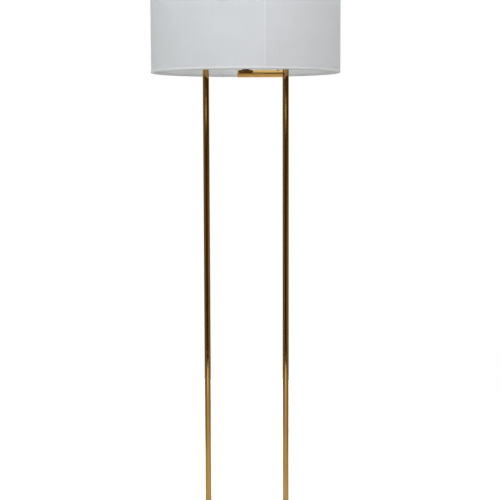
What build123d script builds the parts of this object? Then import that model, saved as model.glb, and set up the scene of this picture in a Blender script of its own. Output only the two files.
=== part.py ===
from build123d import *
from math import cos, pi, radians, sin, sqrt
import os

# Twin-post floor lamp: two brass posts joined by a crossbar, a side arm for the lampholder and a drum shade.
#
# Frame: +Z up, origin on the floor under the centre of the base. The posts stand left and right on the
# X axis, the front is -Y and the mains cord enters at the back, +Y. Units are millimetres and degrees.
# Every function under a heading returns the closed solid or solids of one node.

# ---------------------------------------------------------------- driving dimensions
# Posts and bars
POST_SPACING = 203.0  # centre to centre
POST_OD = 16.0
POST_WALL = 1.5
BAR_OD = 19.0  # socket arm and crossbar
BAR_WALL = 1.5
BAR_RISE = 1.0  # the post goes on this far above the crossbar's crest
ARM_DROP = 1.0  # the arm's axis lies this far below the shade's lower rim
ARM_REACH = 20.7  # the arm's free end lies this far past the lamp's axis

# Base
BASE_OD = 300.0
BASE_TOP = 28.0
BASE_EDGE_R = 6.0
COVER_WALL = 1.5
FOOT_HEIGHT = 3.0
FOOT_OD = 20.0
FOOT_COUNT = 4
FOOT_EDGE = 22.0  # foot's centre to the base's edge
PLATE_THICK = 1.5
PLATE_GAP = 0.5  # plate's edge to the cover's skirt
PLATE_SCREW_COUNT = 3
PLATE_SCREW_EDGE = 34.0  # screw's centre to the base's edge
PLATE_SCREW_OD = 4.0
PLATE_SCREW_HEAD_OD = 7.2
PLATE_SCREW_HEAD = 1.8
PLATE_SCREW_DEPTH = 6.0  # in the weight
PLATE_SCREW_SLOT = 1.0
COUNTERBORE_DEPTH = 14.0

# Shade
RIM_HEIGHT = 1240.0
SHADE_OD = 480.0
SHADE_HEIGHT = 280.0
FABRIC_THICK = 0.8
LINER_THICK = 0.6
SEAM_ANGLE = -78.1  # from +X, turning towards +Y
SEAM_WIDTH = 12.0
SEAM_THICK = 0.4
TRIM_THICK = 0.6
TRIM_HEIGHT = 7.0
TRIM_INSIDE = 6.0
RING_WIRE = 4.0
SPIDER_DROP = 30.0  # from the shade's upper rim to the washer's top
SPIDER_WIRE = 3.5
SPIDER_ARMS = 3
SPIDER_SINK = 0.4  # a wire's flat where it is welded to the washer
WASHER_OD = 28.0
WASHER_THICK = 2.0

# Shade stud and finial
STUD_OD = 6.0
SEAT_OD = 16.0
SEAT_HEIGHT = 6.0
FINIAL_OD = 22.0
FINIAL_FOOT_OD = 15.0
FINIAL_HEIGHT = 27.0
FINIAL_BORE_DEPTH = 14.0

# Screws and threaded tube
SCREW_OD = 6.0
SCREW_HEAD_OD = 11.0
SCREW_HEAD_HEIGHT = 3.3
HEX_SOCKET = 4.0  # across flats
NIPPLE_OD = 10.0
NIPPLE_ID = 7.0
NUT_FLATS = 17.0
NUT_HEIGHT = 5.5
BASE_WASHER_OD = 28.0
BASE_WASHER_THICK = 1.5
INSERT_LENGTH = 30.0
NIPPLE_SHORT = 4.0  # the nipple ends this far below the post insert's top
COLLAR_OD = 30.0
COLLAR_HEIGHT = 6.0
SPIGOT_LENGTH = 30.0
ARM_SCREW_INSET = 20.0  # from the right post's axis
PLUG_LENGTH = 22.0
COPE_DEPTH = 1.0  # the bars' ends reach this far past the posts' near sides
CAP_HEIGHT = 3.0
CAP_PLUG = 7.0
END_CAP_THICK = 1.5

# Lampholder
SADDLE_OD = 40.5
SADDLE_RISE = 4.5  # the saddle's top above the arm's crest
SADDLE_BAND = 2.6  # height of its rim
SADDLE_WALL = 1.5
SADDLE_SLOPE = 0.6  # its top rises this much from the rim to the hub
SADDLE_CHAMFER = 0.4
HUB_OD = 22.0
HUB_HEIGHT = 3.8
NECK_OD = 15.0
NECK_HEIGHT = 3.2
BUSH_WALL = 1.0
BUSH_TAIL = 1.5  # the bush reaches this far down inside the tube
HOLDER_CAP_HEIGHT = 20.0
HOLDER_BOSS_HEIGHT = 8.0
HOLDER_BOSS_WALL = 3.0
HOLDER_WALL = 2.4
HOLDER_CAP_ROUND = 9.0
HOLDER_LIP = 2.0  # thickness of the inward lip at its mouth
LIP_RISE = 0.8  # the mouth's edge above the bulb's last turn of thread
INSERT_RIM = 1.45  # the insert reaches this far outside the screw shell
INSERT_BELOW = 8.0  # the insert reaches this far down into the cap
INSERT_HEIGHT = 22.0
TERMINAL_RISE = 6.0  # terminal screws above the insert's foot
TERMINAL_POCKET = 3.0
TERMINAL_SCREW_OD = 5.2
TERMINAL_SCREW_HEAD = 1.8
TONGUE_WIDTH = 5.0
TONGUE_THICK = 0.6
TONGUE_RISE = 3.0  # the tongue's top above the insert
THREAD_OD = 26.4  # bulb's screw cap, over the crests
THREAD_DEPTH = 0.8
THREAD_PITCH = 3.6
THREAD_TURNS = 6
SHELL_WALL = 0.5
SHAFT_OD = 4.0
SHAFT_BORE_DEPTH = 9.0  # in the insert
SHAFT_IN_KNOB = 8.0
SHAFT_RISE = 8.0  # above the joint of the holder's cap and body
SHAFT_BOSS_OD = 11.0
SHAFT_BOSS = 3.0  # the boss stands this far out from the lampholder's wall
KNOB_OD = 14.0
KNOB_LENGTH = 15.0
KNOB_GAP = 8.0  # knob's inner face to the lampholder's wall
KNOB_RIBS = 16
KNOB_RIB_WIDTH = 1.1
KNOB_COLLAR = 3.0  # plain length at the knob's inner end

# Bulb
BULB_OD = 60.0
BULB_LENGTH = 108.0  # from the contact's tip to the crown
BULB_COLLAR_OD = 32.0
BULB_COLLAR_HEIGHT = 20.0
BULB_GLASS_WALL = 1.0
GLASS_STEP = 0.4  # the glass starts this far inside the collar's edge
GLOBE_START = radians(-28)  # latitude at which the neck's sweep meets the globe
CONTACT_OD = 9.0
CONTACT_HEIGHT = 2.0

# Lead and cord inlet
LEAD_OD = 4.5
LEAD_HOLE = 8.0
LEAD_RISE = 3.5  # the lead's centre above the bottom plate
LEAD_BENDS = (14.0, 6.5, 9.0, 6.0)  # in the base, into the post, into the arm, up to the lampholder
BUSHING_BORE_R = 3.5
BUSHING_WALL = 2.5
BUSHING_LIP = 2.0  # the flange reaches this far out past its hole
BUSHING_FLANGE = 2.0
BUSHING_BARB = 0.6  # the snap reaches this far out past its hole
BUSHING_SNAP = 2.5
BLOCK_LENGTH = 24.0
BLOCK_HEIGHT = 10.0
BLOCK_BACK = 34.0  # block's near face to the base's edge
BLOCK_SCREW_OD = 3.6
BLOCK_SCREW_PITCH = 6.0  # across the block
BLOCK_SCREW_INSET = 6.0  # from the block's ends
BLOCK_SCREW_DEPTH = 3.0

# Clearances
FIT = 0.05  # radial, between a turning or sliding part and its hole
SLIP = 0.08  # radial, between a screw or post and the hole that it passes through
THREAD_GAP = 0.35  # radial, between the bulb's cap and its shell
INSERT_GAP = 0.6  # radial, between the insert and the lampholder's wall
LIP_GAP = 0.75  # radial, between the screw shell and the lampholder's lip
SHAFT_GAP = 0.4  # radial, round the shaft where it passes the lampholder's wall
HEAD_GAP = 0.5  # radial, round a screw head that is sunk in a hole
WASHER_GAP = 2.0  # radial, round a washer in its counterbore
SNAP_GAP = 0.4  # round the bushing's snap, in the channel and behind the skirt
BLOCK_GAP = 1.0  # each side of the terminal block
NOTCH_GAP = 0.3  # radial, round a wire that passes through the tape

# ---------------------------------------------------------------- worked out
POST_X = POST_SPACING / 2
POST_R = POST_OD / 2
POST_BORE = POST_R - POST_WALL
BAR_END = POST_X - POST_R + COPE_DEPTH
BAR_R = BAR_OD / 2
BAR_BORE = BAR_R - BAR_WALL
SHADE_R = SHADE_OD / 2
LINER_R = SHADE_R - FABRIC_THICK
SHADE_BORE = LINER_R - LINER_THICK
SHADE_TOP = RIM_HEIGHT + SHADE_HEIGHT
RING_R = SHADE_BORE - RING_WIRE / 2
RING_Z = SHADE_TOP - TRIM_THICK - RING_WIRE / 2

ARM_Z = RIM_HEIGHT - ARM_DROP
ARM_CREST = ARM_Z + BAR_R
WASHER_TOP = SHADE_TOP - SPIDER_DROP
WASHER_Z = WASHER_TOP - WASHER_THICK
BAR_CREST = WASHER_Z - SEAT_HEIGHT
BAR_Z = BAR_CREST - BAR_R
POST_TOP = BAR_CREST + BAR_RISE

BASE_R = BASE_OD / 2
PLATE_Z = FOOT_HEIGHT
WEIGHT_Z = PLATE_Z + PLATE_THICK
WEIGHT_TOP = BASE_TOP - COVER_WALL
WEIGHT_R = BASE_R - COVER_WALL - 1.0
SHELF_Z = WEIGHT_Z + COUNTERBORE_DEPTH  # washer's seat in the weight
NUT_Z = SHELF_Z - BASE_WASHER_THICK - NUT_HEIGHT
NIPPLE_Z = NUT_Z + 1.0
LEAD_Z = WEIGHT_Z + LEAD_RISE
BUSHING_HOLE_R = BUSHING_BORE_R + BUSHING_WALL
BUSHING_SNAP_R = BUSHING_HOLE_R + BUSHING_BARB
CHANNEL_WIDTH = 2 * (BUSHING_SNAP_R + SNAP_GAP)
CHANNEL_DEPTH = CHANNEL_WIDTH
BUSHING_Z = WEIGHT_Z + CHANNEL_DEPTH / 2

CAP_Z = ARM_CREST + SADDLE_RISE  # underside of the lampholder
NECK_Z = CAP_Z - NECK_HEIGHT
HUB_Z = NECK_Z - HUB_HEIGHT
BAND_Z = HUB_Z - SADDLE_SLOPE
SADDLE_Z = BAND_Z - SADDLE_BAND
BUSH_Z = ARM_Z + BAR_BORE - BUSH_TAIL
BUSH_R = NIPPLE_OD / 2 + BUSH_WALL
SCREW_SEAT = BAR_R - SCREW_HEAD_HEIGHT  # the sunk screw's seat above the arm's axis
ARM_SCREW_X = POST_X - ARM_SCREW_INSET
SPLIT_Z = CAP_Z + HOLDER_CAP_HEIGHT  # joint between its cap and its body
INSERT_Z = SPLIT_Z - INSERT_BELOW
SHELL_Z = INSERT_Z + INSERT_HEIGHT
SHAFT_Z = SPLIT_Z + SHAFT_RISE
SHELL_R = THREAD_OD / 2 + THREAD_GAP + SHELL_WALL
INSERT_R = SHELL_R + INSERT_RIM
HOLDER_BORE = INSERT_R + INSERT_GAP
HOLDER_R = HOLDER_BORE + HOLDER_WALL
KNOB_Y = -HOLDER_R - KNOB_GAP  # the knob's inner face
SHAFT_END = SHAFT_BORE_DEPTH - INSERT_R
BULB_Z = SHELL_Z + TONGUE_RISE  # the bulb's contact stands on the holder's tongue
THREAD_Z = BULB_Z + CONTACT_HEIGHT
THREAD_TOP = THREAD_Z + THREAD_PITCH * THREAD_TURNS
HOLDER_TOP = THREAD_TOP + LIP_RISE
COLLAR_Z = THREAD_TOP + 1.0
GLASS_Z = COLLAR_Z + BULB_COLLAR_HEIGHT


# ---------------------------------------------------------------- shape helpers
ON_BASE = (Align.CENTER, Align.CENTER, Align.MIN)


def rod(radius, z0, z1, x=0.0, y=0.0):
    """An upright cylinder from z0 to z1."""
    return Pos(x, y, z0) * Cylinder(radius, z1 - z0, align=ON_BASE)


def pipe(outer, inner, z0, z1, x=0.0, y=0.0):
    """An upright tube, made from its two radii."""
    return rod(outer, z0, z1, x, y) - rod(inner, z0 - 1, z1 + 1, x, y)


def rod_x(radius, x0, x1, z, y=0.0):
    """A cylinder along X from x0 to x1."""
    return Pos(x0, y, z) * Rot(0, 90, 0) * Cylinder(radius, x1 - x0, align=ON_BASE)


def rod_y(radius, y0, y1, z, x=0.0):
    """A cylinder along Y from y0 to y1."""
    return Pos(x, y0, z) * Rot(-90, 0, 0) * Cylinder(radius, y1 - y0, align=ON_BASE)


def lathe(points, x=0.0, y=0.0):
    """Turns a closed outline of (radius, height) points about an upright axis."""
    outline = make_face(Polyline(*points, close=True))
    return Pos(x, y, 0) * revolve(Plane.XZ * outline, axis=Axis.Z)


def turned(edges, x=0.0, y=0.0):
    """Turns an outline of lines and arcs, drawn as (radius, height), about an upright axis."""
    return Pos(x, y, 0) * revolve(Plane.XZ * make_face(edges), axis=Axis.Z)


def hexagon(flats, z0, z1, x=0.0, y=0.0):
    """An upright hexagonal bar."""
    profile = RegularPolygon(flats / 2, 6, major_radius=False)
    return extrude(Pos(x, y, z0) * profile, z1 - z0)


def ring_wire(radius, wire, z):
    """A torus of round wire lying level at height z."""
    return Pos(0, 0, z) * Torus(radius, wire / 2)


def button_screw(shank):
    """A button-head screw, its head's seat at z 0 and its shank of that length pointing down."""
    half, top = SCREW_HEAD_OD / 2, SCREW_HEAD_HEIGHT
    crown = half * 0.55
    dome = [
        Line((0, 0), (half, 0)),
        Line((half, 0), (half, top / 4)),
        ThreePointArc((half, top / 4), ((half + crown) / 2 + 0.5, top * 0.72), (crown, top)),
        Line((crown, top), (0, top)),
        Line((0, top), (0, 0)),
    ]
    head = turned(dome) - hexagon(HEX_SOCKET, top - HEX_SOCKET / 2, top + 1)
    return head + rod(SCREW_OD / 2, -shank, 0)


def at_both_posts(make):
    """The solid that make(x) returns, at the left and the right post."""
    return [make(-POST_X), make(POST_X)]


def around(count, radius, first, make):
    """Solids that make(x, y, angle) returns, spaced evenly on a circle."""
    found = []
    for i in range(count):
        angle = first + 360 * i / count
        found.append(make(radius * cos(radians(angle)), radius * sin(radians(angle)), angle))
    return found


# ---------------------------------------------------------------- base
def cord_channel():
    """Space for the wiring: from the back edge to the centre, then to the right post."""
    half, height = CHANNEL_WIDTH / 2, CHANNEL_DEPTH + 1
    inlet = Box(CHANNEL_WIDTH, BASE_R + half, height, align=(Align.CENTER, Align.MIN, Align.MIN))
    across = Box(POST_X, CHANNEL_WIDTH, height, align=(Align.MIN, Align.CENTER, Align.MIN))
    return Pos(0, -half, WEIGHT_Z - 1) * inlet + Pos(0, 0, WEIGHT_Z - 1) * across


def base_cover():
    """Spun brass cover with a rounded top edge, two post holes and the cord inlet's hole."""
    inner = BASE_R - COVER_WALL
    inner_edge = BASE_EDGE_R - COVER_WALL
    outside = fillet(rod(BASE_R, PLATE_Z, BASE_TOP).edges().group_by(Axis.Z)[-1], BASE_EDGE_R)
    inside = fillet(rod(inner, PLATE_Z - 1, WEIGHT_TOP).edges().group_by(Axis.Z)[-1], inner_edge)
    cover = outside - inside
    for x in (-POST_X, POST_X):
        cover -= rod(NIPPLE_OD / 2 + SLIP, WEIGHT_TOP - 1, BASE_TOP + 1, x)
    return cover - rod_y(BUSHING_HOLE_R, BASE_R - 10, BASE_R + 10, BUSHING_Z)


def base_weight():
    """Cast-iron disc with counterbores for the nuts and a channel for the wiring."""
    disc = fillet(rod(WEIGHT_R, WEIGHT_Z, WEIGHT_TOP).edges().group_by(Axis.Z)[-1], BASE_EDGE_R)
    disc -= cord_channel()
    for x in (-POST_X, POST_X):
        disc -= rod(BASE_WASHER_OD / 2 + WASHER_GAP, WEIGHT_Z - 1, SHELF_Z, x)
        disc -= rod(NIPPLE_OD / 2 + SLIP, WEIGHT_Z, WEIGHT_TOP + 1, x)
    for hole in plate_screw_rods(PLATE_SCREW_OD / 2, WEIGHT_Z - 1, WEIGHT_Z + PLATE_SCREW_DEPTH + 2):
        disc -= hole
    return disc


def plate_screw_rods(radius, z0, z1):
    """Upright cylinders at the plate's screws, clear of the channel at the back."""
    place = BASE_R - PLATE_SCREW_EDGE
    return around(PLATE_SCREW_COUNT, place, 30, lambda x, y, angle: rod(radius, z0, z1, x, y))


def base_plate():
    """Steel plate that closes the base's underside."""
    plate = rod(BASE_R - COVER_WALL - PLATE_GAP, PLATE_Z, WEIGHT_Z)
    for hole in plate_screw_rods(PLATE_SCREW_OD / 2 + SLIP, PLATE_Z - 1, WEIGHT_Z + 1):
        plate -= hole
    return plate


def base_plate_screws():
    """Slotted pan-head screws that hold the plate to the weight."""
    low = PLATE_Z - PLATE_SCREW_HEAD
    heads = plate_screw_rods(PLATE_SCREW_HEAD_OD / 2, low, PLATE_Z)
    shanks = plate_screw_rods(PLATE_SCREW_OD / 2, PLATE_Z, WEIGHT_Z + PLATE_SCREW_DEPTH)
    slot = Box(PLATE_SCREW_HEAD_OD + 1, PLATE_SCREW_SLOT, PLATE_SCREW_HEAD)
    screws = [head + shank for head, shank in zip(heads, shanks)]
    return [screw - Pos(screw.center().X, screw.center().Y, low) * slot for screw in screws]


def rubber_feet():
    """Round feet stuck to the bottom plate."""
    def foot(x, y, angle):
        return chamfer(rod(FOOT_OD / 2, 0, FOOT_HEIGHT, x, y).edges().group_by(Axis.Z)[0], 0.6)
    return around(FOOT_COUNT, BASE_R - FOOT_EDGE, 45, foot)


def cord_bushing():
    """Snap-in bushing in the cover's skirt, where the mains cord enters."""
    snap_y = BASE_R - COVER_WALL - SNAP_GAP / 2
    inner_y, outer_y = snap_y - BUSHING_SNAP, BASE_R + BUSHING_FLANGE
    barrel = rod_y(BUSHING_HOLE_R - FIT, snap_y, BASE_R, BUSHING_Z)
    flange = rod_y(BUSHING_HOLE_R + BUSHING_LIP, BASE_R, outer_y, BUSHING_Z)
    flange = chamfer(flange.edges().group_by(Axis.Y)[-1], BUSHING_FLANGE * 0.4)
    snap = rod_y(BUSHING_SNAP_R, inner_y, snap_y, BUSHING_Z)
    return barrel + flange + snap - rod_y(BUSHING_BORE_R, inner_y - 1, outer_y + 1, BUSHING_Z)


def terminal_block():
    """Connector block that joins the mains cord to the lead inside the lamp."""
    y0 = BASE_R - BLOCK_BACK - BLOCK_LENGTH
    top = WEIGHT_Z + BLOCK_HEIGHT
    width = CHANNEL_WIDTH - 2 * BLOCK_GAP
    block = Box(width, BLOCK_LENGTH, BLOCK_HEIGHT, align=(Align.CENTER, Align.MIN, Align.MIN))
    block = Pos(0, y0, WEIGHT_Z) * chamfer(block.edges().filter_by(Axis.Y).group_by(Axis.Z)[-1], 1.0)
    for x in (-BLOCK_SCREW_PITCH / 2, BLOCK_SCREW_PITCH / 2):
        for y in (y0 + BLOCK_SCREW_INSET, y0 + BLOCK_LENGTH - BLOCK_SCREW_INSET):
            block -= rod(BLOCK_SCREW_OD / 2, top - BLOCK_SCREW_DEPTH, top + 1, x, y)
    return block


def base_nipples():
    """Hollow threaded tubes that clamp the posts to the base."""
    top = BASE_TOP + INSERT_LENGTH - NIPPLE_SHORT
    return at_both_posts(lambda x: pipe(NIPPLE_OD / 2, NIPPLE_ID / 2, NIPPLE_Z, top, x))


def base_washers():
    """Steel washers above the nuts."""
    return at_both_posts(lambda x: pipe(BASE_WASHER_OD / 2, NIPPLE_OD / 2 + SLIP,
                                        SHELF_Z - BASE_WASHER_THICK, SHELF_Z, x))


def base_nuts():
    """Hexagon nuts in the weight's counterbores."""
    def nut(x):
        top = SHELF_Z - BASE_WASHER_THICK
        return hexagon(NUT_FLATS, NUT_Z, top, x) - rod(NIPPLE_OD / 2, NUT_Z - 1, top + 1, x)
    return at_both_posts(nut)


# ---------------------------------------------------------------- posts
def post(x):
    """Brass tube from the base to just above the crossbar."""
    tube = pipe(POST_R, POST_BORE, BASE_TOP, POST_TOP, x)
    return tube - rod_x(SCREW_OD / 2 + SLIP, x - POST_OD, x + POST_OD, BAR_Z)


def left_post():
    """The post without wiring."""
    return post(-POST_X)


def right_post():
    """The post that carries the lead, with a side hole into the arm."""
    return post(POST_X) - rod_x(LEAD_HOLE / 2, POST_X - POST_OD, POST_X, ARM_Z)


def post_insert(x):
    """Steel plug in a post's foot, threaded for the nipple."""
    return pipe(POST_BORE, NIPPLE_OD / 2, BASE_TOP, BASE_TOP + INSERT_LENGTH, x)


def post_collar(x):
    """Turned brass collar that covers the joint of post and base."""
    collar = pipe(COLLAR_OD / 2, POST_R + SLIP, BASE_TOP, BASE_TOP + COLLAR_HEIGHT, x)
    rim = collar.edges().group_by(Axis.Z)[-1].sort_by(SortBy.RADIUS)[-1]
    return fillet(rim, 3.0)


def post_cap(x):
    """Domed plug in a post's top end."""
    head = rod(POST_R, POST_TOP, POST_TOP + CAP_HEIGHT, x)
    head = fillet(head.edges().group_by(Axis.Z)[-1], 2.2)
    return head + rod(POST_BORE, POST_TOP - CAP_PLUG, POST_TOP, x)


# ---------------------------------------------------------------- crossbar
def coped(bar, side):
    """Cuts a bar's end to seat on the round post on that side, -1 for left or 1 for right."""
    return bar - rod(POST_R, 0, SHADE_TOP, side * POST_X)


def crossbar():
    """Brass tube between the posts, with a hole through it for the shade's stud."""
    bar = rod_x(BAR_R, -BAR_END, BAR_END, BAR_Z) - rod_x(BAR_BORE, -POST_X, POST_X, BAR_Z)
    bar = coped(coped(bar, -1), 1)
    return bar - rod(STUD_OD / 2, BAR_Z - BAR_OD, BAR_Z + BAR_OD)


def crossbar_plugs():
    """Threaded plugs in the crossbar's ends, coped to the posts."""
    def plug(side):
        inner, outer = sorted((side * (BAR_END - PLUG_LENGTH), side * BAR_END))
        solid = rod_x(BAR_BORE, inner, outer, BAR_Z)
        solid -= rod_x(SCREW_OD / 2, inner - 1, outer + 1, BAR_Z)
        return coped(solid, side)
    return [plug(-1), plug(1)]


def crossbar_screws():
    """Button-head screws through the posts into the crossbar's plugs."""
    def screw(side):
        turn = Rot(0, 90 * side, 0)
        return Pos(side * (POST_X + POST_R), 0, BAR_Z) * turn * button_screw(POST_OD + 12)
    return [screw(-1), screw(1)]


def stud_seat():
    """Brass collar that stands on the crossbar and carries the shade's washer."""
    seat = rod(SEAT_OD / 2, BAR_Z, WASHER_Z) - rod(STUD_OD / 2, BAR_Z - 1, WASHER_Z + 1)
    seat = seat - rod_x(BAR_R, -SEAT_OD, SEAT_OD, BAR_Z)
    rim = seat.edges().group_by(Axis.Z)[-1].sort_by(SortBy.RADIUS)[-1]
    return chamfer(rim, 0.8)


def shade_stud():
    """Threaded stud through the crossbar, for the shade and its finial."""
    top = WASHER_TOP + FINIAL_BORE_DEPTH - 2
    stud = rod(STUD_OD / 2, BAR_Z - BAR_R - 6, top)
    return chamfer(stud.edges().group_by(Axis.Z)[-1], 0.6)


def stud_nut():
    """Acorn nut under the crossbar."""
    top = BAR_Z - BAR_R
    nut = hexagon(10.0, top - 5, top) + Pos(0, 0, top - 5) * Sphere(4.6)
    nut &= rod(8, top - 9, top)
    return nut - rod(STUD_OD / 2, top - 6, top + 1)


# ---------------------------------------------------------------- socket arm
def socket_arm():
    """Brass tube from the right post to just past the lamp's axis."""
    end = -ARM_REACH + END_CAP_THICK
    bar = rod_x(BAR_R, end, BAR_END, ARM_Z) - rod_x(BAR_BORE, end - 1, POST_X, ARM_Z)
    bar = coped(bar, 1)
    bar -= rod(BUSH_R, ARM_Z, ARM_CREST + 1)
    return bar - rod(SCREW_HEAD_OD / 2 + HEAD_GAP, ARM_Z, ARM_CREST + 1, ARM_SCREW_X)


def arm_end_cap():
    """Disc and plug that close the arm's free end."""
    end = -ARM_REACH + END_CAP_THICK
    disc = rod_x(BAR_R, -ARM_REACH, end, ARM_Z)
    disc = fillet(disc.edges().group_by(Axis.X)[0], 0.6)
    return disc + rod_x(BAR_BORE, end, end + 4, ARM_Z)


def arm_spigot():
    """Bored stub brazed to the right post, over which the arm slides."""
    start = BAR_END - SPIGOT_LENGTH
    stub = rod_x(BAR_BORE - FIT, start, BAR_END, ARM_Z) - rod_x(LEAD_HOLE / 2, start - 1, POST_X, ARM_Z)
    stub = coped(stub, 1)
    stub -= rod(SCREW_HEAD_OD / 2 + HEAD_GAP, ARM_Z + SCREW_SEAT, ARM_CREST, ARM_SCREW_X)
    return stub - rod(SCREW_OD / 2, ARM_Z, ARM_CREST, ARM_SCREW_X)


def arm_screw():
    """Black button-head screw that holds the arm on its spigot, sunk level with the arm's crest."""
    shank = SCREW_SEAT - LEAD_HOLE / 2 - 0.2
    return Pos(ARM_SCREW_X, 0, ARM_Z + SCREW_SEAT) * button_screw(shank)


def holder_saddle():
    """Turned brass disc that straddles the arm, with a hub and neck above and a bush in the tube."""
    rim, hub, neck, cut = SADDLE_OD / 2, HUB_OD / 2, NECK_OD / 2, SADDLE_CHAMFER
    corners = [
        (0, SADDLE_Z),
        (rim, SADDLE_Z),
        (rim, BAND_Z - cut),
        (rim - cut, BAND_Z),
        (hub, HUB_Z),
        (hub, NECK_Z - cut),
        (hub - cut, NECK_Z),
        (neck, NECK_Z),
        (neck, CAP_Z),
        (0, CAP_Z),
    ]
    disc = turned([Polyline(*corners, close=True)])
    disc -= rod(rim - SADDLE_WALL, SADDLE_Z - 1, BAND_Z - SADDLE_WALL)
    cup = Rot(0, 0, 90) * disc  # its seam lies clear of the arm
    cup -= rod_x(BAR_R, -SADDLE_OD, SADDLE_OD, ARM_Z)
    bush = rod(BUSH_R, BUSH_Z, CAP_Z)
    return cup + bush - rod(NIPPLE_OD / 2, ARM_Z, CAP_Z + 1)


def holder_nipple():
    """Hollow threaded tube between the saddle and the lampholder's cap."""
    return pipe(NIPPLE_OD / 2, NIPPLE_ID / 2, BUSH_Z, CAP_Z + HOLDER_BOSS_HEIGHT)


# ---------------------------------------------------------------- lampholder
def holder_cap():
    """Domed moulded cap with a threaded boss for the nipple."""
    r, t, k = HOLDER_R, HOLDER_WALL, HOLDER_CAP_ROUND
    s = sin(radians(45))
    boss = NIPPLE_OD / 2 + HOLDER_BOSS_WALL
    bore = NIPPLE_OD / 2
    boss_top = CAP_Z + HOLDER_BOSS_HEIGHT
    turn = r - k + k * s, CAP_Z + k - k * s  # middle of the outer round
    inner_turn = r - k + (k - t) * s, CAP_Z + k - (k - t) * s
    outside = [
        Line((bore, CAP_Z), (r - k, CAP_Z)),
        ThreePointArc((r - k, CAP_Z), turn, (r, CAP_Z + k)),
        Line((r, CAP_Z + k), (r, SPLIT_Z)),
        Line((r, SPLIT_Z), (r - t, SPLIT_Z)),
        Line((r - t, SPLIT_Z), (r - t, CAP_Z + k)),
    ]
    inside = [
        ThreePointArc((r - t, CAP_Z + k), inner_turn, (r - k, CAP_Z + t)),
        Line((r - k, CAP_Z + t), (boss, CAP_Z + t)),
        Line((boss, CAP_Z + t), (boss, boss_top)),
        Line((boss, boss_top), (bore, boss_top)),
        Line((bore, boss_top), (bore, CAP_Z)),
    ]
    return turned(outside + inside)


def holder_body():
    """Moulded sleeve with a lip at its mouth and a boss for the switch's shaft."""
    lip = SHELL_R + LIP_GAP
    lip_z = HOLDER_TOP - HOLDER_LIP
    body = lathe([(HOLDER_BORE, SPLIT_Z), (HOLDER_R, SPLIT_Z), (HOLDER_R, HOLDER_TOP), (lip, HOLDER_TOP),
                  (lip, lip_z), (HOLDER_BORE, lip_z - (HOLDER_BORE - lip))])
    boss = rod_y(SHAFT_BOSS_OD / 2, -HOLDER_R - SHAFT_BOSS, -HOLDER_BORE, SHAFT_Z)
    body += boss - rod(HOLDER_BORE, SPLIT_Z, HOLDER_TOP)
    return body - rod_y(SHAFT_OD / 2 + SHAFT_GAP, KNOB_Y, -INSERT_R, SHAFT_Z)


def holder_insert():
    """Insulating switch block inside the lampholder."""
    block = rod(INSERT_R, INSERT_Z, SHELL_Z)
    block -= rod_y(SHAFT_OD / 2 + FIT, -INSERT_R - 1, SHAFT_END, SHAFT_Z)
    for side in (-1, 1):
        block -= Pos(side * INSERT_R, 0, INSERT_Z + TERMINAL_RISE) * Box(2 * TERMINAL_POCKET, 9, 7)
    return block


def terminal_screws():
    """Screws that clamp the lead's two cores to the switch block."""
    seat = INSERT_R - TERMINAL_POCKET
    radius, z = TERMINAL_SCREW_OD / 2, INSERT_Z + TERMINAL_RISE
    top = seat + TERMINAL_SCREW_HEAD
    return [rod_x(radius, -top, -seat, z), rod_x(radius, seat, top, z)]


def thread_outline(radius, z0):
    """Rounded screw-cap profile: (radius, height) of crest and root for each turn."""
    points = []
    for i in range(THREAD_TURNS * 4):
        wave = cos(pi * i / 2)
        points.append((radius - THREAD_DEPTH * (1 - wave) / 2, z0 + THREAD_PITCH * (i + 0.5) / 4))
    return points


def screw_shell():
    """Ridged contact shell that takes the bulb's cap."""
    wave = thread_outline(THREAD_OD / 2 + THREAD_GAP, THREAD_Z)
    inner = [(wave[0][0], SHELL_Z)] + wave
    outer = [(r + SHELL_WALL, z) for r, z in reversed(inner)]
    return lathe(inner + outer)


def centre_tongue():
    """Springy centre contact under the bulb."""
    length = THREAD_OD / 2 - 1
    strip = Pos(0, 0, BULB_Z - TONGUE_THICK) * Box(TONGUE_WIDTH, length, TONGUE_THICK, align=ON_BASE)
    foot = Box(TONGUE_WIDTH, TONGUE_THICK, TONGUE_RISE, align=(Align.CENTER, Align.MAX, Align.MIN))
    return strip + Pos(0, length / 2, SHELL_Z) * foot


# ---------------------------------------------------------------- switch
def switch_shaft():
    """Steel shaft that turns in the switch block."""
    return rod_y(SHAFT_OD / 2, KNOB_Y - SHAFT_IN_KNOB, SHAFT_END - 0.5, SHAFT_Z)


def switch_knob():
    """Ribbed knob on the switch's shaft."""
    knob = rod_y(KNOB_OD / 2, KNOB_Y - KNOB_LENGTH, KNOB_Y, SHAFT_Z)
    knob = fillet(knob.edges().group_by(Axis.Y)[0], 1.5)
    for i in range(KNOB_RIBS):
        angle = radians(360 * i / KNOB_RIBS)
        x, z = KNOB_OD / 2 * sin(angle), SHAFT_Z + KNOB_OD / 2 * cos(angle)
        knob -= rod_y(KNOB_RIB_WIDTH / 2, KNOB_Y - KNOB_LENGTH - 1, KNOB_Y - KNOB_COLLAR, z, x)
    return knob - rod_y(SHAFT_OD / 2, KNOB_Y - SHAFT_IN_KNOB, KNOB_Y + 1, SHAFT_Z)


# ---------------------------------------------------------------- bulb
def bulb_contact():
    """Solder tip and glass insulator at the foot of the bulb."""
    return lathe([(0, BULB_Z), (CONTACT_OD / 2 - 1.5, BULB_Z), (CONTACT_OD / 2, BULB_Z + 1.2),
                  (THREAD_OD / 2 - 4, THREAD_Z), (0, THREAD_Z)])


def bulb_cap():
    """Ridged metal screw cap."""
    wave = thread_outline(THREAD_OD / 2, THREAD_Z)
    neck = THREAD_OD / 2 - THREAD_DEPTH
    outer = [(neck - 3, THREAD_Z)] + wave + [(neck, COLLAR_Z)]
    return lathe(outer + [(0, COLLAR_Z), (0, THREAD_Z)])


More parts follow.
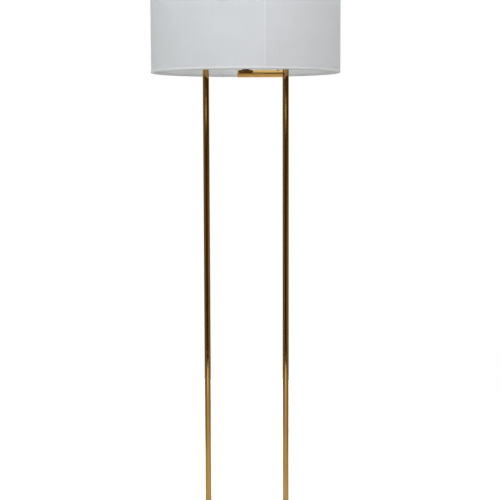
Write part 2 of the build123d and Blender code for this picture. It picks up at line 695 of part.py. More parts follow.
def bulb_collar():
    """White moulded neck between the cap and the glass."""
    foot, top = THREAD_OD / 2 - 0.5, BULB_COLLAR_OD / 2
    return lathe([(0, COLLAR_Z), (foot, COLLAR_Z), (foot + 0.3, COLLAR_Z + 3), (top, GLASS_Z), (0, GLASS_Z)])


def globe_outline(inset):
    """Half section of the globe from its neck to its crown, drawn that far inside its outer face."""
    ball = BULB_OD / 2
    centre = BULB_Z + BULB_LENGTH - ball
    radius, foot = ball - inset, BULB_COLLAR_OD / 2 - GLASS_STEP - inset
    start = (radius * cos(GLOBE_START), centre + radius * sin(GLOBE_START))
    middle = (radius * cos(pi / 4), centre + radius * sin(pi / 4))
    crown = (0, centre + radius)
    neck = Spline((foot, GLASS_Z), start, tangents=((0.25, 1), (-sin(GLOBE_START), cos(GLOBE_START))))
    dome = ThreePointArc(start, middle, crown)
    return make_face([neck, dome, Line(crown, (0, GLASS_Z)), Line((0, GLASS_Z), (foot, GLASS_Z))])


def bulb_glass():
    """Opal globe that runs down to a narrower neck."""
    return revolve(Plane.XZ * (globe_outline(0) - globe_outline(BULB_GLASS_WALL)), axis=Axis.Z)


# ---------------------------------------------------------------- shade
def shade_fabric():
    """Cloth drum with its glued seam at the front."""
    low, high = RIM_HEIGHT + TRIM_THICK, SHADE_TOP - TRIM_THICK
    drum = pipe(SHADE_R, LINER_R, low, high)
    lap_low, lap_high = RIM_HEIGHT + TRIM_HEIGHT, SHADE_TOP - TRIM_HEIGHT
    lap = pipe(SHADE_R + SEAM_THICK, SHADE_R - FABRIC_THICK / 2, lap_low, lap_high)
    strip = Box(SHADE_R, SEAM_WIDTH, SHADE_HEIGHT, align=(Align.MIN, Align.CENTER, Align.MIN))
    lap &= Pos(0, 0, RIM_HEIGHT) * Rot(0, 0, SEAM_ANGLE) * Pos(SHADE_R / 2, 0, 0) * strip
    return drum + lap


def shade_liner():
    """Stiff translucent backing of the cloth."""
    return pipe(LINER_R, SHADE_BORE, RIM_HEIGHT + TRIM_THICK, SHADE_TOP - TRIM_THICK)


def trim(rim, up):
    """Cloth tape folded over the shade's edge and its wire; up is 1 at the lower rim and -1 at the upper."""
    out = SHADE_R + TRIM_THICK
    leg = SHADE_BORE - RING_WIRE - TRIM_THICK
    outline = [
        (leg, rim), (out, rim), (out, rim + up * TRIM_HEIGHT), (SHADE_R, rim + up * TRIM_HEIGHT),
        (SHADE_R, rim + up * TRIM_THICK), (leg + TRIM_THICK, rim + up * TRIM_THICK),
        (leg + TRIM_THICK, rim + up * TRIM_INSIDE), (leg, rim + up * TRIM_INSIDE),
    ]
    return lathe(outline)


def lower_trim():
    """Tape round the lower rim."""
    return trim(RIM_HEIGHT, 1)


def upper_trim():
    """Tape round the upper rim, notched where the spider's wires cross it."""
    tape = trim(SHADE_TOP, -1)
    for notch in spider_wires(SPIDER_WIRE + 2 * NOTCH_GAP):
        tape -= notch
    return tape


def lower_ring():
    """Wire ring inside the lower rim."""
    return ring_wire(RING_R, RING_WIRE, RIM_HEIGHT + TRIM_THICK + RING_WIRE / 2)


def upper_ring():
    """Wire ring inside the upper rim."""
    return ring_wire(RING_R, RING_WIRE, RING_Z)


def spider_wires(diameter):
    """Round wires of that diameter along the spider's arms, before their ends are fitted."""
    low = WASHER_TOP + SPIDER_WIRE / 2 - SPIDER_SINK
    start = Vector(WASHER_OD / 2 - 2, 0, low)
    bend = Vector(WASHER_OD / 2 + 8, 0, low)
    end = Vector(RING_R - RING_WIRE / 4, 0, RING_Z - RING_WIRE / 4)
    path = FilletPolyline(start, bend, end, radius=12)
    wire = sweep(Plane(origin=start, z_dir=(1, 0, 0)) * Circle(diameter / 2), path=path)
    return [Rot(0, 0, 90 + 360 * i / SPIDER_ARMS) * wire for i in range(SPIDER_ARMS)]


def spider_arms():
    """Wires from the washer up to the upper ring, flattened where they are welded."""
    ring, washer = upper_ring(), spider_washer()
    fitted = [wire - ring - washer for wire in spider_wires(SPIDER_WIRE)]
    return [wire.solids().sort_by(SortBy.VOLUME)[-1] for wire in fitted]


def spider_washer():
    """Washer that drops over the stud."""
    return pipe(WASHER_OD / 2, STUD_OD / 2 + SLIP, WASHER_Z, WASHER_TOP)


def finial():
    """Ball finial that holds the shade down."""
    z0, z1 = WASHER_TOP, WASHER_TOP + FINIAL_HEIGHT
    ball = FINIAL_OD / 2
    foot = FINIAL_FOOT_OD / 2
    waist = foot - 2.5
    centre = z1 - ball
    join = centre - sqrt(ball * ball - waist * waist)
    outline = [
        Line((0, z0), (foot, z0)),
        Line((foot, z0), (foot, z0 + 1.6)),
        ThreePointArc((foot, z0 + 1.6), (foot - 0.6, z0 + 2.4), (waist, z0 + 2.7)),
        Line((waist, z0 + 2.7), (waist, join)),
        ThreePointArc((waist, join), (ball, centre), (0, z1)),
        Line((0, z1), (0, z0)),
    ]
    return turned(outline) - rod(STUD_OD / 2 + FIT, z0 - 1, z0 + FINIAL_BORE_DEPTH)


# ---------------------------------------------------------------- wiring
def internal_lead():
    """Sleeved twin lead from the terminal block, up the right post and through the arm to the lampholder."""
    block_face = BASE_R - BLOCK_BACK - BLOCK_LENGTH
    route = [
        (0, block_face, LEAD_Z),
        (0, 0, LEAD_Z),
        (POST_X, 0, LEAD_Z),
        (POST_X, 0, ARM_Z),
        (0, 0, ARM_Z),
        (0, 0, INSERT_Z),
    ]
    path = FilletPolyline(*route, radius=list(LEAD_BENDS))
    start = Plane(origin=route[0], z_dir=(0, -1, 0))
    return sweep(start * Circle(LEAD_OD / 2), path=path)


NODES = {
    "base_cover": base_cover,
    "base_weight": base_weight,
    "base_plate": base_plate,
    "base_plate_screws": base_plate_screws,
    "rubber_feet": rubber_feet,
    "cord_bushing": cord_bushing,
    "terminal_block": terminal_block,
    "base_nipples": base_nipples,
    "base_washers": base_washers,
    "base_nuts": base_nuts,
    "left_post": left_post,
    "right_post": right_post,
    "left_post_insert": lambda: post_insert(-POST_X),
    "right_post_insert": lambda: post_insert(POST_X),
    "left_post_collar": lambda: post_collar(-POST_X),
    "right_post_collar": lambda: post_collar(POST_X),
    "left_post_cap": lambda: post_cap(-POST_X),
    "right_post_cap": lambda: post_cap(POST_X),
    "crossbar": crossbar,
    "crossbar_plugs": crossbar_plugs,
    "crossbar_screws": crossbar_screws,
    "stud_seat": stud_seat,
    "shade_stud": shade_stud,
    "stud_nut": stud_nut,
    "socket_arm": socket_arm,
    "arm_end_cap": arm_end_cap,
    "arm_spigot": arm_spigot,
    "arm_screw": arm_screw,
    "holder_saddle": holder_saddle,
    "holder_nipple": holder_nipple,
    "holder_cap": holder_cap,
    "holder_body": holder_body,
    "holder_insert": holder_insert,
    "terminal_screws": terminal_screws,
    "screw_shell": screw_shell,
    "centre_tongue": centre_tongue,
    "switch_shaft": switch_shaft,
    "switch_knob": switch_knob,
    "bulb_contact": bulb_contact,
    "bulb_cap": bulb_cap,
    "bulb_collar": bulb_collar,
    "bulb_glass": bulb_glass,
    "shade_fabric": shade_fabric,
    "shade_liner": shade_liner,
    "lower_trim": lower_trim,
    "upper_trim": upper_trim,
    "lower_ring": lower_ring,
    "upper_ring": upper_ring,
    "spider_arms": spider_arms,
    "spider_washer": spider_washer,
    "finial": finial,
    "internal_lead": internal_lead,
}


def main():
    """Writes one STEP file for each node."""
    os.makedirs("parts", exist_ok=True)
    for name, make in NODES.items():
        made = make()
        solids = made if isinstance(made, list) else made.solids()
        shape = solids[0] if len(solids) == 1 else Compound(children=list(solids))
        export_step(shape, f"parts/{name}.step")
        print(f"{name}: {len(solids)} solid(s), {sum(s.volume for s in solids) / 1000:.2f} cm3")


main()
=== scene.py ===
"""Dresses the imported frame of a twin-post brass floor lamp: shade, lampholder, bulb, base and studio."""

import logging
import math
from dataclasses import dataclass
from enum import Enum
from typing import Callable, Mapping, Optional, Sequence, Union

import bmesh
import bpy
from mathutils import Matrix, Vector


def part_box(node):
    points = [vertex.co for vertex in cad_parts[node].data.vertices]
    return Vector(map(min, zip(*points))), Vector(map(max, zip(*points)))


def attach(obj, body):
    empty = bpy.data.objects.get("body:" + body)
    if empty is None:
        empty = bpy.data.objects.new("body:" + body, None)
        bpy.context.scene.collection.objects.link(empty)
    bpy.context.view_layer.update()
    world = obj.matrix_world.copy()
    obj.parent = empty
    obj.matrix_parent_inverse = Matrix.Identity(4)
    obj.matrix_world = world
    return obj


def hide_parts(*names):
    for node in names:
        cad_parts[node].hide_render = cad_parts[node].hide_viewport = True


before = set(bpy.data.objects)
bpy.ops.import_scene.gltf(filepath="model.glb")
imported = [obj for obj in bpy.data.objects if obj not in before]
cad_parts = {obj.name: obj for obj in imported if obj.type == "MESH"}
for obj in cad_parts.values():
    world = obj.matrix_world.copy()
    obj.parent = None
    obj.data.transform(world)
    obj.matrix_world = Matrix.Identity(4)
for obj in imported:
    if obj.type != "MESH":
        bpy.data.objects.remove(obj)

log = logging.getLogger("floor_lamp")

Colour = tuple[float, float, float]
Point = tuple[float, float, float]
Term = Union["Value", float]
Feed = Union["Value", bpy.types.NodeSocket, float, Sequence[float]]

LAP_WIDTH = 0.012
MERGE_DISTANCE = 0.000005
ORIGIN: Point = (0.0, 0.0, 0.0)
WHITE: Colour = (1.0, 1.0, 1.0)


# ---------------------------------------------------------------- shader nodes
class Value:
    """A number that a shader node gives, with arithmetic that adds Math nodes."""

    def __init__(self, net: "Net", socket: bpy.types.NodeSocket) -> None:
        """Keeps the net and the output socket."""
        self.net = net
        self.socket = socket

    def __add__(self, other: Term) -> "Value":
        """This value plus another."""
        return self.net.math("ADD", self, other)

    __radd__ = __add__

    def __sub__(self, other: Term) -> "Value":
        """This value less another."""
        return self.net.math("SUBTRACT", self, other)

    def __rsub__(self, other: Term) -> "Value":
        """Another value less this one."""
        return self.net.math("SUBTRACT", other, self)

    def __mul__(self, other: Term) -> "Value":
        """This value times another."""
        return self.net.math("MULTIPLY", self, other)

    __rmul__ = __mul__

    def sine(self) -> "Value":
        """The sine of this value, in radians."""
        return self.net.math("SINE", self)

    def between(self, low: float, high: float) -> "Value":
        """Rises smoothly from 0 where this value is low to 1 where it is high.

        Args:
            low: the value that gives 0.
            high: the value that gives 1; below low, the rise becomes a fall.

        Returns:
            The share, held between 0 and 1.
        """
        settings = {"interpolation_type": "SMOOTHSTEP"}
        sockets = {"Value": self, "From Min": low, "From Max": high}
        return Value(self.net, self.net.node("MapRange", settings, sockets).outputs[0])


class Net:
    """A shader node tree that is put together one node at a time."""

    def __init__(self, tree: bpy.types.NodeTree) -> None:
        """Empties the tree, and keeps it."""
        tree.nodes.clear()
        self.tree = tree

    def node(
        self,
        kind: str,
        settings: Optional[Mapping[str, object]] = None,
        sockets: Optional[Mapping[Union[str, int], Feed]] = None,
    ) -> bpy.types.Node:
        """Adds a node of any type.

        Args:
            kind: its type, without the leading "ShaderNode".
            settings: its properties, set first. "stops" holds a ramp's positions and colours.
            sockets: the value or link of each input, by the input's name or number.

        Returns:
            The new node.
        """
        made = self.tree.nodes.new("ShaderNode" + kind)
        for name, setting in (settings or {}).items():
            if name == "stops":
                for number, (position, colour) in enumerate(setting):
                    stops = made.color_ramp.elements
                    stop = stops[number] if number < 2 else stops.new(position)
                    stop.position = position
                    stop.color = (*colour, 1.0)
            else:
                setattr(made, name, setting)
        for key, feed in (sockets or {}).items():
            self.feed(made.inputs[key], feed)
        return made

    def feed(self, socket: bpy.types.NodeSocket, feed: Feed) -> None:
        """Links a socket, or sets its value; a colour of three numbers is made opaque."""
        if isinstance(feed, (Value, bpy.types.NodeSocket)):
            self.tree.links.new(feed.socket if isinstance(feed, Value) else feed, socket)
        elif socket.type == "RGBA":
            socket.default_value = (*feed, 1.0)
        else:
            socket.default_value = feed

    def math(self, operation: str, *terms: Term) -> Value:
        """Adds a Math node on the given terms."""
        made = self.node("Math", {"operation": operation}, dict(enumerate(terms)))
        return Value(self, made.outputs[0])

    def place(self) -> bpy.types.NodeSocket:
        """The point on the piece, in metres in the lamp's frame."""
        return self.node("TexCoord").outputs["Object"]

    def spread(self, layer: str) -> bpy.types.NodeSocket:
        """The point on the flat cloth, from the piece's UV map of that name, in metres."""
        return self.node("UVMap", {"uv_map": layer}).outputs["UV"]

    def parts(self, vector: bpy.types.NodeSocket) -> tuple[Value, Value, Value]:
        """A vector's three numbers."""
        outputs = self.node("SeparateXYZ", None, {0: vector}).outputs
        return Value(self, outputs[0]), Value(self, outputs[1]), Value(self, outputs[2])

    def joined(self, x: Term, y: Term, z: Term = 0.0) -> bpy.types.NodeSocket:
        """A vector of three numbers."""
        return self.node("CombineXYZ", None, {0: x, 1: y, 2: z}).outputs[0]

    def scaled(self, vector: bpy.types.NodeSocket, scales: Point) -> bpy.types.NodeSocket:
        """A vector with each of its numbers scaled."""
        made = self.node("VectorMath", {"operation": "MULTIPLY"}, {0: vector, 1: scales})
        return made.outputs[0]

    def noise(self, vector: bpy.types.NodeSocket, scale: float, detail: float = 2.0) -> Value:
        """Soft noise of about 0.5, with that many cells to a unit of the vector."""
        sockets = {"Vector": vector, "Scale": scale, "Detail": detail, "Roughness": 0.55}
        return Value(self, self.node("TexNoise", None, sockets).outputs[0])

    def cells(self, vector: bpy.types.NodeSocket, scale: float) -> Value:
        """Distance to the nearest of scattered points, 0 at a point."""
        sockets = {"Vector": vector, "Scale": scale}
        return Value(self, self.node("TexVoronoi", None, sockets).outputs["Distance"])

    def mix(self, share: Term, first: Feed, second: Feed) -> bpy.types.NodeSocket:
        """A colour between two, with that share of the second."""
        made = self.node("Mix", {"data_type": "RGBA"}, {0: share, 6: first, 7: second})
        return made.outputs[2]

    def tool_marks(self, grain: "Grain", centre: Point) -> Value:
        """Fine lines that run the way of the grain.

        Args:
            grain: the way they run.
            centre: a point on the axis of a turned piece, in metres.

        Returns:
            Noise of about 0.5 that changes only slowly along the lines.
        """
        x, y, z = self.parts(self.place())
        fine, slow = 1400.0, 3.0
        if grain is Grain.ALONG_X:
            where = self.joined(x * slow, y * fine, z * fine)
        elif grain is Grain.ALONG_Z:
            where = self.joined(x * fine, y * fine, z * slow)
        else:
            across, along = (y, z) if grain is Grain.TURNED_UPRIGHT else (z, y)
            side, out = x - centre[0], across - centre[1]
            radius = self.math("SQRT", side * side + out * out)
            where = self.joined(radius * fine, along * fine)
        return self.noise(where, 1.0, 3.0)

    def surface(
        self,
        sockets: Mapping[str, Feed],
        height: Optional[Value] = None,
        depth: float = 0.0,
        shine_through: float = 0.0,
    ) -> None:
        """Adds the shader and links it to the output.

        Args:
            sockets: the Principled shader's inputs.
            height: relief, from 0 to 1, or None where there is none.
            depth: the relief's depth in metres.
            shine_through: share of the light that passes through a thin sheet.
        """
        fed = dict(sockets)
        if height is not None:
            bump = self.node("Bump", None, {"Strength": 1.0, "Distance": depth, "Height": height})
            fed["Normal"] = bump.outputs[0]
        shader = self.node("BsdfPrincipled", None, fed).outputs[0]
        if shine_through:
            thin = self.node("BsdfTranslucent", None, {"Color": fed["Base Color"]})
            mixed = self.node("MixShader", None, {0: shine_through, 1: shader, 2: thin.outputs[0]})
            shader = mixed.outputs[0]
        self.node("OutputMaterial", None, {"Surface": shader})


class Grain(Enum):
    """The way a metal piece's fine tool marks run."""

    ALONG_X = "drawn along x"
    ALONG_Z = "drawn along z"
    TURNED_UPRIGHT = "turned about an upright axis"
    TURNED_LEVEL = "turned about an axis along y"


# ---------------------------------------------------------------- finishes
class Finish:
    """A surface that pieces are given. A subclass adds its nodes in compose."""

    name: str

    def compose(self, net: Net) -> None:
        """Adds the finish's nodes to an empty net."""
        raise NotImplementedError

    def material(self) -> bpy.types.Material:
        """The finish's material, which is made the first time that it is asked for."""
        made = bpy.data.materials.get(self.name)
        if made is None:
            made = bpy.data.materials.new(self.name)
            made.use_nodes = True
            self.compose(Net(made.node_tree))
        return made


@dataclass(frozen=True)
class Brass(Finish):
    """Polished brass under clear lacquer, with faint tool marks and handling marks."""

    name: str
    grain: Grain
    centre: Point = ORIGIN
    tone: Colour = (0.56, 0.315, 0.095)
    deep: Colour = (0.52, 0.285, 0.08)
    stain: Colour = (0.25, 0.12, 0.035)
    roughness: float = 0.05

    def compose(self, net: Net) -> None:
        """Adds soft patches of tone, tool marks, smears and small stains."""
        place = net.place()
        marks = net.tool_marks(self.grain, self.centre)
        patches = net.noise(place, 11.0).between(0.38, 0.62)
        smears = net.noise(place, 55.0, 3.0).between(0.5, 0.72)
        stains = net.noise(place, 800.0, 1.0).between(0.72, 0.8)
        colour = net.mix(patches, self.tone, self.deep)
        colour = net.mix(stains * 0.3 + marks * 0.08, colour, self.stain)
        net.surface(
            {
                "Base Color": colour,
                "Metallic": 1.0,
                "Roughness": marks * 0.03 + smears * 0.04 + stains * 0.1 + self.roughness,
                "Coat Weight": 0.25,
                "Coat Roughness": 0.04,
                "Coat IOR": 1.48,
            },
            marks,
            0.0000003,
        )


@dataclass(frozen=True)
class Plated(Finish):
    """Zinc or nickel plate on steel or brass."""

    name: str
    grain: Grain = Grain.TURNED_UPRIGHT
    centre: Point = ORIGIN
    tone: Colour = (0.62, 0.63, 0.65)
    tint: Colour = (0.60, 0.56, 0.42)
    roughness: float = 0.28

    def compose(self, net: Net) -> None:
        """Adds the plate's cloudy tint, tool marks and rubbed spots."""
        place = net.place()
        marks = net.tool_marks(self.grain, self.centre)
        clouds = net.noise(place, 140.0, 3.0).between(0.4, 0.7)
        rubs = net.noise(place, 900.0).between(0.6, 0.75)
        net.surface(
            {
                "Base Color": net.mix(clouds * 0.7, self.tone, self.tint),
                "Metallic": 1.0,
                "Roughness": marks * 0.12 + rubs * 0.1 + self.roughness,
            },
            marks,
            0.000004,
        )


@dataclass(frozen=True)
class DarkMetal(Finish):
    """Iron or steel under a dark coat: cast and dipped, powder coated, or oxidised."""

    name: str
    tone: Colour
    worn: Colour
    roughness: float
    pit_scale: float
    pit_depth: float
    metallic: float = 0.0

    def compose(self, net: Net) -> None:
        """Adds the coat's texture, thin spots and dust."""
        place = net.place()
        pits = net.cells(place, self.pit_scale)
        grit = net.noise(place, self.pit_scale * 2.5, 3.0)
        thin = net.noise(place, self.pit_scale * 0.12, 4.0).between(0.55, 0.75)
        net.surface(
            {
                "Base Color": net.mix(thin * 0.6 + grit * 0.2, self.tone, self.worn),
                "Metallic": thin * 0.4 + self.metallic,
                "Roughness": grit * 0.2 - thin * 0.08 + self.roughness,
            },
            pits * 0.6 + grit * 0.4,
            self.pit_depth,
        )


@dataclass(frozen=True)
class Moulded(Finish):
    """Moulded plastic or rubber with a fine mould texture."""

    name: str
    tone: Colour
    fleck: Colour
    roughness: float
    texture_scale: float = 1500.0
    texture_depth: float = 0.00001
    gloss: float = 0.0

    def compose(self, net: Net) -> None:
        """Adds flow marks, mould texture and dull handling marks."""
        place = net.place()
        texture = net.noise(place, self.texture_scale, 2.0)
        flow = net.noise(net.scaled(place, (60.0, 60.0, 160.0)), 1.0, 3.0).between(0.4, 0.7)
        dull = net.noise(place, 90.0, 4.0).between(0.5, 0.75)
        net.surface(
            {
                "Base Color": net.mix(flow * 0.35 + texture * 0.15, self.tone, self.fleck),
                "Roughness": texture * 0.08 + dull * 0.12 + self.roughness,
                "Coat Weight": self.gloss,
                "Coat Roughness": 0.12,
                "IOR": 1.5,
            },
            texture,
            self.texture_depth,
        )


@dataclass(frozen=True)
class Cloth(Finish):
    """Off-white plain-woven cloth with slubs, and the shade's glued lap."""

    name: str = "lamp_shade_cloth"
    tone: Colour = (0.845, 0.85, 0.87)
    shadow: Colour = (0.72, 0.725, 0.745)
    edge: Colour = (0.91, 0.915, 0.93)
    thread: float = 0.0007
    shine_through: float = 0.5

    def compose(self, net: Net) -> None:
        """Adds the weave, thick threads both ways, the lap's pale cut edge and its darker double layer."""
        flat = net.spread("flat")
        around, up, _ = net.parts(flat)
        turn = 2.0 * math.pi / self.thread
        weave = (around * turn).sine() * (up * turn).sine() * 0.5 + 0.5
        warp = net.noise(net.scaled(flat, (700.0, 9.0, 1.0)), 1.0, 3.0).between(0.4, 0.75)
        weft = net.noise(net.scaled(flat, (7.0, 800.0, 1.0)), 1.0, 3.0).between(0.45, 0.8)
        cloud = net.noise(flat, 14.0, 2.0).between(0.35, 0.65)
        lap = around.between(0.0, 0.0008) * around.between(LAP_WIDTH + 0.001, LAP_WIDTH)
        cut = around.between(0.0002, 0.001) * around.between(0.0042, 0.0022)
        beyond = around.between(0.0, 0.001) * around.between(0.11, 0.02)
        shade = warp * 0.14 + weft * 0.14 + weave * 0.12 + cloud * 0.1
        colour = net.mix(shade + lap * 0.08 + beyond * 0.1, self.tone, self.shadow)
        net.surface(
            {
                "Base Color": net.mix(cut * 0.8, colour, self.edge),
                "Roughness": 0.9 - weave * 0.1,
                "Sheen Weight": 0.15,
                "Sheen Roughness": 0.5,
                "Specular IOR Level": 0.25,
            },
            weave * 0.6 + warp * 0.5 + weft * 0.5,
            0.00005,
            self.shine_through,
        )


@dataclass(frozen=True)
class Tape(Finish):
    """The folded tape that binds the shade's rims, ribbed along its length."""

    name: str = "lamp_hem_tape"
    tone: Colour = (0.60, 0.605, 0.62)
    shadow: Colour = (0.66, 0.665, 0.68)
    rib: float = 0.0009

    def compose(self, net: Net) -> None:
        """Adds ribs across the tape, fine threads along it, and soft unevenness."""
        flat = net.spread("flat")
        around, up, _ = net.parts(flat)
        ribs = (around * (2.0 * math.pi / self.rib)).sine() * 0.5 + 0.5
        threads = net.noise(net.scaled(flat, (40.0, 2200.0, 1.0)), 1.0, 2.0)
        uneven = net.noise(flat, 60.0, 3.0).between(0.35, 0.7)
        net.surface(
            {
                "Base Color": net.mix(ribs * 0.12 + threads * 0.2 + uneven * 0.2, self.tone, self.shadow),
                "Roughness": 0.85 - ribs * 0.1,
                "Sheen Weight": 0.15,
                "Sheen Roughness": 0.5,
                "Specular IOR Level": 0.25,
            },
            ribs * 0.6 + threads * 0.4,
            0.00005,
        )


@dataclass(frozen=True)
class LinerSheet(Finish):
    """White translucent sheet with a satin face."""

    name: str = "lamp_shade_liner"
    tone: Colour = (0.89, 0.89, 0.885)
    shadow: Colour = (0.83, 0.83, 0.82)
    shine_through: float = 0.5

    def compose(self, net: Net) -> None:
        """Adds the sheet's rolled texture and faint clouding."""
        place = net.place()
        x, y, z = net.parts(place)
        clouds = net.noise(place, 16.0, 3.0).between(0.35, 0.65)
        rolled = net.noise(net.joined(x * 900.0, y * 900.0, z * 60.0), 1.0, 2.0)
        net.surface(
            {
                "Base Color": net.mix(clouds * 0.4 + rolled * 0.2, self.tone, self.shadow),
                "Roughness": rolled * 0.1 + clouds * 0.06 + 0.42,
            },
            rolled,
            0.00001,
            self.shine_through,
        )


@dataclass(frozen=True)
class Enamel(Finish):
    """White paint on steel wire."""

    name: str = "lamp_wire_enamel"
    tone: Colour = (0.80, 0.80, 0.78)
    yellowed: Colour = (0.70, 0.68, 0.60)

    def compose(self, net: Net) -> None:
        """Adds the paint's orange peel and yellowed patches."""
        place = net.place()
        peel = net.noise(place, 700.0, 2.0)
        aged_and_painted_dark = net.noise(place, 40.0, 3.0).between(0.45, 0.7)
        net.surface(
            {
                "Base Color": net.mix(aged_and_painted_dark * 0.5, self.tone, self.yellowed),
                "Roughness": peel * 0.15 + aged_and_painted_dark * 0.08 + 0.25,
                "Coat Weight": 0.3,
                "Coat Roughness": 0.1,
            },
            peel,
            0.00004,
        )


@dataclass(frozen=True)
class Ceramic(Finish):
    """Unglazed white switch insert."""

    name: str = "lamp_insert_ceramic"
    tone: Colour = (0.78, 0.76, 0.70)
    speck: Colour = (0.45, 0.40, 0.32)

    def compose(self, net: Net) -> None:
        """Adds pores, specks and a dusty bloom."""
        place = net.place()
        pores = net.cells(place, 900.0)
        specks = net.noise(place, 1100.0, 1.0).between(0.68, 0.76)
        bloom = net.noise(place, 120.0, 3.0)
        net.surface(
            {
                "Base Color": net.mix(specks * 0.5 + bloom * 0.08, self.tone, self.speck),
                "Roughness": bloom * 0.15 + 0.65,
            },
            pores,
            0.00004,
        )


@dataclass(frozen=True)
class OpalGlass(Finish):
    """Etched opal glass of the bulb."""

    name: str = "lamp_opal_glass"
    tone: Colour = (0.90, 0.90, 0.885)
    cloud: Colour = (0.83, 0.83, 0.80)

    def compose(self, net: Net) -> None:
        """Adds the coating's cloudiness and its fine etched grain."""
        place = net.place()
        clouds = net.noise(place, 60.0, 3.0).between(0.35, 0.7)
        etch = net.noise(place, 3500.0, 1.0)
        net.surface(
            {
                "Base Color": net.mix(clouds * 0.6, self.tone, self.cloud),
                "Roughness": etch * 0.1 + clouds * 0.05 + 0.22,
                "Subsurface Weight": 0.25,
                "Subsurface Radius": (0.004, 0.004, 0.003),
                "Coat Weight": 0.2,
                "Coat Roughness": 0.1,
            },
            etch,
            0.000003,
        )


@dataclass(frozen=True)
class Contact(Finish):
    """The bulb's tip: a solder button in a ring of dark glass."""

    name: str = "lamp_bulb_contact"
    solder: Colour = (0.66, 0.65, 0.62)
    glass: Colour = (0.02, 0.02, 0.025)
    button: float = 0.0032

    def compose(self, net: Net) -> None:
        """Adds the two rings by their distance from the bulb's axis, and the button's dimples."""
        place = net.place()
        x, y, _ = net.parts(place)
        ring = net.math("SQRT", x * x + y * y).between(self.button, self.button + 0.0002)
        dimples = net.noise(place, 1600.0, 2.0)
        net.surface(
            {
                "Base Color": net.mix(ring, self.solder, self.glass),
                "Metallic": 1.0 - ring,
                "Roughness": dimples * 0.15 + 0.32 - ring * 0.2,
            },
            dimples,
            0.00003,
        )


@dataclass(frozen=True)
class Sleeve(Finish):
    """Woven sleeve over the lead inside the lamp."""

    name: str = "lamp_lead_sleeve"
    tone: Colour = (0.70, 0.66, 0.58)
    shadow: Colour = (0.42, 0.38, 0.31)
    pitch: float = 0.0016

    def compose(self, net: Net) -> None:
        """Adds a criss-cross weave from the lead's own position, and soiled patches."""
        x, y, z = net.parts(net.place())
        turn = 2.0 * math.pi / self.pitch
        one = ((x + y + z) * turn).sine()
        other = ((x + y - z) * turn).sine()
        weave = one * other * 0.5 + 0.5
        soil = net.noise(net.place(), 70.0, 3.0).between(0.45, 0.7)
        net.surface(
            {
                "Base Color": net.mix(weave * 0.4 + soil * 0.3, self.tone, self.shadow),
                "Roughness": 0.88 - weave * 0.1,
            },
            weave,
            0.0001,
        )


@dataclass(frozen=True)
class StudioFloor(Finish):
    """Pale matt studio floor that glows, with painted shade before and beside the lamp for the brass to
    mirror.
    """

    name: str = "studio_floor"
    tone: Colour = (0.62, 0.62, 0.62)
    painted_shade_front_tone: Colour = (0.36, 0.36, 0.36)
    painted_shade_side_tone: Colour = (0.27, 0.27, 0.27)
    mottled: Colour = (0.30, 0.30, 0.30)
    glow: float = 0.38
    painted_shade_front_glow: Colour = (0.62, 0.62, 0.62)
    painted_shade_side_glow: Colour = (0.48, 0.48, 0.46)

    def compose(self, net: Net) -> None:
        """Adds a faint mottle and an even glow, with painted shade that greys both before the lamp and
        beside it.
        """
        place = net.place()
        mottle = net.noise(place, 3.0, 2.0)
        x, y, _ = net.parts(place)
        # painted shade: greyer tone and weaker glow before the lamp, more so beside it, so the brass
        # mirrors a dim room
        before = y.between(0.42, 0.30) * y.between(-2.2, -1.5)
        beside = before * (x * x).between(0.08, 0.50)
        tone = net.mix(beside, net.mix(before, self.tone, self.painted_shade_front_tone), self.painted_shade_side_tone)
        glow = net.mix(beside, net.mix(before, WHITE, self.painted_shade_front_glow), self.painted_shade_side_glow)
        net.surface(
            {
                "Base Color": net.mix(mottle * 0.06, tone, self.mottled),
                "Roughness": mottle * 0.1 + 0.75,
                "Specular IOR Level": 0.1,
                "Emission Color": glow,
                "Emission Strength": self.glow,
            }
        )


